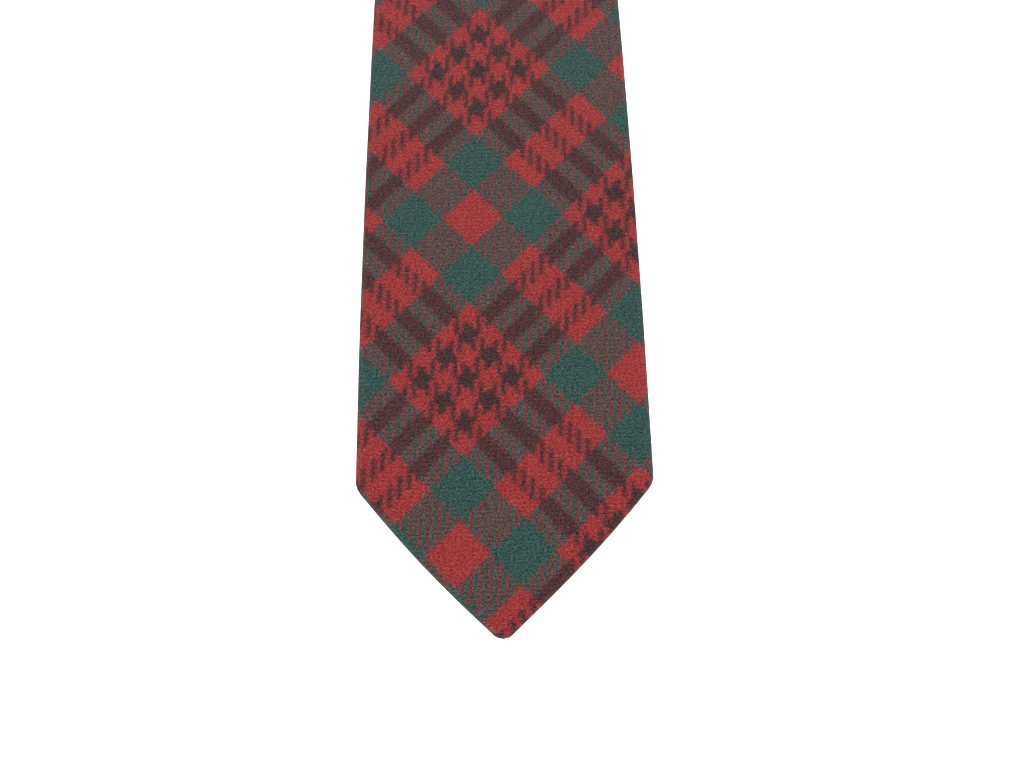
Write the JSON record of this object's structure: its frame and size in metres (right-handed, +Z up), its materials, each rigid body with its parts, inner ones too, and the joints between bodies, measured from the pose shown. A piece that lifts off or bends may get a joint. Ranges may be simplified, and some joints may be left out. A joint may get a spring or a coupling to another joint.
{
  "type": "necktie",
  "caption": "Untied wool tartan necktie with a pointed blade and tail, lined and interlined, hung over a bar at its neck, folding along both legs.",
  "frame": {"origin": "the axis of the bar that the neck hangs over, at the middle of the neck's width", "axes": "+Z up, -Y towards the front, on the wide leg's side, +X across the tie to the right"},
  "size_m": [0.08, 0.0224, 0.7812],
  "materials": {
    "wool_cloth": "matte wool twill in a red, green and dark maroon tartan",
    "interlining": "matte brushed wool wadding",
    "tipping_cloth": "smooth plain-weave lining with a soft sheen",
    "thread": "twisted sewing thread",
    "label_cloth": "blank woven label",
    "tag_cloth": "blank woven tape"
  },
  "bodies": {
    "neck": {"neck_shell_arch": "wool_cloth", "neck_interlining": "interlining", "neck_slip_stitch": "thread"},
    "blade_upper": {"neck_shell_front": "wool_cloth", "blade_piecing_seam": "thread", "blade_shell_upper": "wool_cloth", "blade_interlining_upper": "interlining", "blade_slip_stitch_upper": "thread"},
    "blade_lower": {"blade_shell_lower": "wool_cloth", "blade_interlining_lower": "interlining", "blade_tipping": "tipping_cloth", "blade_tipping_stitch": "thread", "blade_slip_stitch_lower": "thread", "blade_bar_tack": "thread", "keeper_stitches": "thread", "blank_label": "label_cloth", "label_stitches": "thread", "tag_stitch": "thread"},
    "tail_upper": {"neck_shell_back": "wool_cloth", "tail_piecing_seam": "thread", "tail_shell_upper": "wool_cloth", "tail_interlining_upper": "interlining", "tail_slip_stitch_upper": "thread"},
    "tail_lower": {"tail_shell_lower": "wool_cloth", "tail_interlining_lower": "interlining", "tail_tipping": "tipping_cloth", "tail_tipping_stitch": "thread", "tail_slip_stitch_lower": "thread", "tail_bar_tack": "thread"},
    "keeper": {"keeper_loop": "wool_cloth"},
    "tag": {"fibre_tag": "tag_cloth"}
  },
  "joints": [
    {"name": "blade_swing", "type": "hinge", "parent": "neck", "child": "blade_upper", "pos_m": [0, -0.0096, -0.045], "axis": [-1, 0, 0], "range_deg": [0, 90]},
    {"name": "blade_fold", "type": "hinge", "parent": "blade_upper", "child": "blade_lower", "pos_m": [0, -0.0096, -0.41], "axis": [-1, 0, 0], "range_deg": [0, 90]},
    {"name": "tail_swing", "type": "hinge", "parent": "neck", "child": "tail_upper", "pos_m": [0, 0.0096, -0.045], "axis": [-1, 0, 0], "range_deg": [-90, 0]},
    {"name": "tail_fold", "type": "hinge", "parent": "tail_upper", "child": "tail_lower", "pos_m": [0, 0.0096, -0.37], "axis": [-1, 0, 0], "range_deg": [-90, 0]},
    {"name": "keeper_tilt", "type": "hinge", "parent": "blade_lower", "child": "keeper", "pos_m": [0, -0.00725, -0.592], "axis": [1, 0, 0], "range_deg": [-40, 40]},
    {"name": "tag_lift", "type": "hinge", "parent": "blade_lower", "child": "tag", "pos_m": [0, -0.00745, -0.55135], "axis": [1, 0, 0], "range_deg": [0, 90]}
  ]
}
